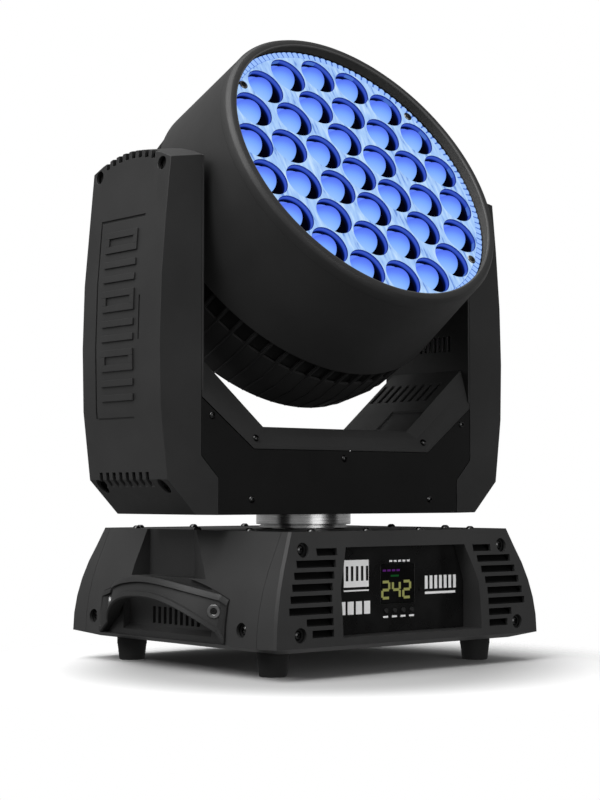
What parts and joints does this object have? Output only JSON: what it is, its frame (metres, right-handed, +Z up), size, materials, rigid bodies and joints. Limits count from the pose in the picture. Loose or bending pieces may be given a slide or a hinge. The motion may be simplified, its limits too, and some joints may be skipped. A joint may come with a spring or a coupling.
{
  "type": "moving head light",
  "caption": "Motorised stage wash light: a round lens head that tilts in a U-shaped yoke, which pans on a low base with carry handles and a menu display.",
  "frame": {"origin": "on the pan axis at floor level, under the middle of the base", "axes": "+Z up, -Y is the display side that the beam leans over, +X to the right when facing the display"},
  "size_m": [0.3924, 0.2991, 0.5445],
  "materials": {
    "housing": "satin moulded, fine texture",
    "grip": "satin moulded",
    "dark_sheet": "fine powder coat",
    "foot_rubber": "matt",
    "display_face": "smooth satin overlay",
    "screen": "glossy",
    "button_rubber": "matt",
    "circuit_board": "solder mask",
    "steel": "brushed",
    "aluminium": "machined",
    "polished": "polished",
    "connector": "satin",
    "belt": "matt, toothed inside",
    "lens": "clear moulded optics over blue emitters",
    "fan": "satin"
  },
  "bodies": {
    "base": {"base_pan": "dark_sheet", "base_front_cover": "housing", "base_rear_cover": "housing", "base_side_cover_left": "housing", "base_side_cover_right": "housing", "base_top_plate": "housing", "handle_left": "grip", "handle_right": "grip", "foot_front_left": "foot_rubber", "foot_front_right": "foot_rubber", "foot_rear_left": "foot_rubber", "foot_rear_right": "foot_rubber", "display_panel": "display_face", "display_screen": "screen", "control_board": "circuit_board", "power_supply": "steel", "rear_panel": "dark_sheet", "power_inlet": "connector", "power_outlet": "connector", "fuse_holder": "connector", "data_inlet": "connector", "data_outlet": "connector", "pan_post": "aluminium"},
    "yoke": {"pan_hub": "polished", "pan_bearing": "steel", "yoke_frame": "aluminium", "yoke_saddle_cover": "housing", "yoke_front_panel": "dark_sheet", "yoke_rear_panel": "dark_sheet", "arm_inner_cover_left": "housing", "arm_inner_cover_right": "housing", "arm_outer_cover_left": "housing", "arm_outer_cover_right": "housing", "tilt_bearing_left": "steel", "tilt_bearing_right": "steel", "pan_motor": "steel", "pan_belt": "belt", "tilt_motor": "steel", "tilt_belt": "belt"},
    "head": {"head_chassis": "aluminium", "head_front_shell": "housing", "front_bezel": "housing", "head_rear_shell": "housing", "rear_cover": "housing", "trunnion_left": "aluminium", "trunnion_right": "aluminium", "heatsink": "aluminium", "led_board": "circuit_board", "fan_frame": "fan", "zoom_actuator_upper": "steel", "zoom_actuator_lower": "steel"},
    "zoom_carriage": {"zoom_carriage": "aluminium", "lens_plate": "lens"},
    "fan_rotor": {"fan_rotor": "fan"},
    "pan_drive": {"pan_motor_pulley": "aluminium"},
    "tilt_drive": {"tilt_motor_pulley": "aluminium"},
    "menu_button": {"menu_button": "button_rubber"},
    "up_button": {"up_button": "button_rubber"},
    "down_button": {"down_button": "button_rubber"},
    "enter_button": {"enter_button": "button_rubber"}
  },
  "joints": [
    {"name": "pan", "type": "hinge", "parent": "base", "child": "yoke", "pos_m": [0, 0, 0.121], "axis": [0, 0, 1], "range_deg": [-270, 270]},
    {"name": "tilt", "type": "hinge", "parent": "yoke", "child": "head", "pos_m": [0, 0, 0.3766], "axis": [1, 0, 0], "range_deg": [-195.25, 74.75]},
    {"name": "zoom", "type": "slide", "parent": "head", "child": "zoom_carriage", "axis": [0, -0.8682, 0.4962], "range_m": [-0.022, 0]},
    {"name": "fan_spin", "type": "hinge", "parent": "head", "child": "fan_rotor", "pos_m": [0, 0, 0.3766], "axis": [0, -0.8682, 0.4962], "continuous": true},
    {"name": "pan_motor_spin", "type": "hinge", "parent": "yoke", "child": "pan_drive", "pos_m": [-0.075, 0, 0.155], "axis": [0, 0, 1], "range_deg": [-1188, 1188]},
    {"name": "tilt_motor_spin", "type": "hinge", "parent": "yoke", "child": "tilt_drive", "pos_m": [-0.168, 0, 0.265], "axis": [1, 0, 0], "range_deg": [-976.25, 373.75]},
    {"name": "menu_press", "type": "slide", "parent": "base", "child": "menu_button", "axis": [0, 1, 0], "range_m": [0, 0.0008], "stiffness_N_per_m": 300},
    {"name": "up_press", "type": "slide", "parent": "base", "child": "up_button", "axis": [0, 1, 0], "range_m": [0, 0.0008], "stiffness_N_per_m": 300},
    {"name": "down_press", "type": "slide", "parent": "base", "child": "down_button", "axis": [0, 1, 0], "range_m": [0, 0.0008], "stiffness_N_per_m": 300},
    {"name": "enter_press", "type": "slide", "parent": "base", "child": "enter_button", "axis": [0, 1, 0], "range_m": [0, 0.0008], "stiffness_N_per_m": 300}
  ],
  "couplings": [
    {"joint": "pan_motor_spin", "follows": "pan", "ratio": -4.4},
    {"joint": "tilt_motor_spin", "follows": "tilt", "ratio": 5}
  ]
}
